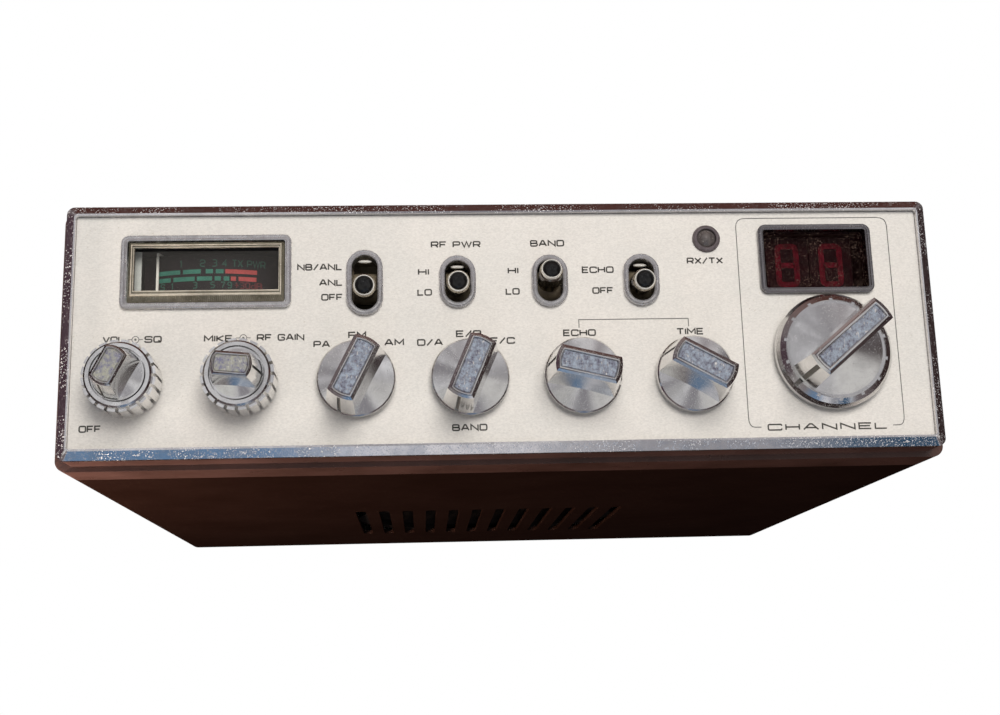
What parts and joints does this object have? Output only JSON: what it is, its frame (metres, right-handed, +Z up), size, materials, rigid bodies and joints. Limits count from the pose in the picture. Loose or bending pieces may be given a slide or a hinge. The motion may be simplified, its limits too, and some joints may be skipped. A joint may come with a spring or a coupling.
{
  "type": "mobile transceiver",
  "caption": "Low, flat mobile radio transceiver with bar knobs, toggle switches, meter and channel display on its front, speaker below and heat sink behind.",
  "frame": {"origin": "on the resting surface, under the middle of the whole object", "axes": "+Z up, the front panel faces -Y, +X to the right seen from the front"},
  "size_m": [0.201, 0.2338, 0.06],
  "materials": {
    "chrome_trim": "polished chrome with fine pits",
    "satin_chrome": "satin chrome plating with dust specks",
    "bezel_plastic": "smooth dark brown moulding",
    "case_paint": "matt very dark brown paint with dust specks",
    "panel_metal": "brushed cream aluminium",
    "plated_steel": "zinc plated sheet",
    "black_anodised": "black anodised extrusion",
    "screw_black": "blackened screw",
    "brass_insert": "turned brass",
    "phenolic": "brown phenolic",
    "lever_black": "glossy black tip on a chrome lever",
    "lens_clear": "clear moulded lens with ribbed margins",
    "dial_print": "near-black dial with green and red print",
    "needle_white": "white enamel",
    "housing_black": "black moulding",
    "lamp_red": "dark red lens",
    "window_red": "dark red window",
    "digit_black": "dark display body with dim red segments",
    "board_green": "glass fibre board with green mask",
    "can_metal": "drawn aluminium cans",
    "capacitor_sleeve": "shrunk plastic sleeve",
    "chip_black": "moulded epoxy",
    "speaker_steel": "black painted basket",
    "speaker_paper": "pressed paper cone",
    "socket_black": "black moulding with plated pins"
  },
  "bodies": {
    "cabinet": {"bezel_trim": "chrome_trim", "front_bezel": "bezel_plastic", "front_panel": "panel_metal", "top_cover": "case_paint", "bottom_cover": "case_paint", "side_rails": "plated_steel", "subpanel": "plated_steel", "rear_panel": "plated_steel", "heat_sink": "black_anodised", "case_screws": "screw_black", "bracket_nuts": "brass_insert", "control_nuts": "satin_chrome", "switch_bezels": "satin_chrome", "switch_bodies": "phenolic", "potentiometers": "can_metal", "rotary_switches": "phenolic", "meter_bezel": "chrome_trim", "meter_lens": "lens_clear", "meter_dial": "dial_print", "meter_housing": "housing_black", "lamp_bezel": "chrome_trim", "lamp_lens": "lamp_red", "display_bezel": "chrome_trim", "display_window": "window_red", "digit_modules": "digit_black", "main_board": "board_green", "tuning_cans": "can_metal", "capacitors": "capacitor_sleeve", "chips": "chip_black", "power_transistors": "chip_black", "speaker_frame": "speaker_steel", "mic_socket": "satin_chrome", "antenna_socket": "satin_chrome", "power_socket": "socket_black", "rear_jacks": "satin_chrome"},
    "volume": {"volume_knob": "satin_chrome", "volume_shaft": "plated_steel"},
    "squelch": {"squelch_ring": "satin_chrome", "squelch_shaft": "plated_steel"},
    "mic_gain": {"mic_gain_knob": "satin_chrome", "mic_gain_shaft": "plated_steel"},
    "rf_gain": {"rf_gain_ring": "satin_chrome", "rf_gain_shaft": "plated_steel"},
    "mode": {"mode_knob": "satin_chrome", "mode_shaft": "plated_steel"},
    "band": {"band_knob": "satin_chrome", "band_shaft": "plated_steel"},
    "echo": {"echo_knob": "satin_chrome", "echo_shaft": "plated_steel"},
    "echo_time": {"time_knob": "satin_chrome", "time_shaft": "plated_steel"},
    "channel": {"channel_knob": "satin_chrome", "channel_shaft": "plated_steel"},
    "noise_switch": {"noise_lever": "lever_black"},
    "power_switch": {"power_lever": "lever_black"},
    "band_switch": {"band_lever": "lever_black"},
    "echo_switch": {"echo_lever": "lever_black"},
    "needle": {"meter_needle": "needle_white"},
    "cone": {"speaker_cone": "speaker_paper"}
  },
  "joints": [
    {"name": "volume_turn", "type": "hinge", "parent": "cabinet", "child": "volume", "pos_m": [-0.0836, -0.09785, 0.0181], "axis": [0, 1, 0], "range_deg": [0, 300]},
    {"name": "squelch_turn", "type": "hinge", "parent": "cabinet", "child": "squelch", "pos_m": [-0.0836, -0.09785, 0.0181], "axis": [0, 1, 0], "range_deg": [-150, 150]},
    {"name": "mic_gain_turn", "type": "hinge", "parent": "cabinet", "child": "mic_gain", "pos_m": [-0.0585, -0.09785, 0.0181], "axis": [0, 1, 0], "range_deg": [-245, 55]},
    {"name": "rf_gain_turn", "type": "hinge", "parent": "cabinet", "child": "rf_gain", "pos_m": [-0.0585, -0.09785, 0.0181], "axis": [0, 1, 0], "range_deg": [-150, 150]},
    {"name": "mode_turn", "type": "hinge", "parent": "cabinet", "child": "mode", "pos_m": [-0.0334, -0.09785, 0.0181], "axis": [0, 1, 0], "range_deg": [-60, 0]},
    {"name": "band_turn", "type": "hinge", "parent": "cabinet", "child": "band", "pos_m": [-0.0083, -0.09785, 0.0181], "axis": [0, 1, 0], "range_deg": [-60, 0]},
    {"name": "echo_turn", "type": "hinge", "parent": "cabinet", "child": "echo", "pos_m": [0.0168, -0.09785, 0.0181], "axis": [0, 1, 0], "range_deg": [-253, 47]},
    {"name": "echo_time_turn", "type": "hinge", "parent": "cabinet", "child": "echo_time", "pos_m": [0.0419, -0.09785, 0.0181], "axis": [0, 1, 0], "range_deg": [-269, 31]},
    {"name": "channel_turn", "type": "hinge", "parent": "cabinet", "child": "channel", "pos_m": [0.0736, -0.09785, 0.0229], "axis": [0, 1, 0], "continuous": true},
    {"name": "noise_switch_tilt", "type": "hinge", "parent": "cabinet", "child": "noise_switch", "pos_m": [-0.0315, -0.09285, 0.0404], "axis": [-1, 0, 0], "range_deg": [0, 21.2]},
    {"name": "power_switch_tilt", "type": "hinge", "parent": "cabinet", "child": "power_switch", "pos_m": [-0.01063, -0.09285, 0.0404], "axis": [-1, 0, 0], "range_deg": [0, 14]},
    {"name": "band_switch_tilt", "type": "hinge", "parent": "cabinet", "child": "band_switch", "pos_m": [0.01024, -0.09285, 0.0404], "axis": [-1, 0, 0], "range_deg": [-14, 0]},
    {"name": "echo_switch_tilt", "type": "hinge", "parent": "cabinet", "child": "echo_switch", "pos_m": [0.03111, -0.09285, 0.0404], "axis": [-1, 0, 0], "range_deg": [0, 14]},
    {"name": "needle_swing", "type": "hinge", "parent": "cabinet", "child": "needle", "pos_m": [-0.06675, -0.05955, 0.0433], "axis": [0, 0, 1], "range_deg": [0, 44], "stiffness_Nm_per_rad": 0.00001},
    {"name": "cone_travel", "type": "slide", "parent": "cabinet", "child": "cone", "axis": [0, 0, 1], "range_m": [-0.0005, 0.0005], "stiffness_N_per_m": 2000}
  ]
}
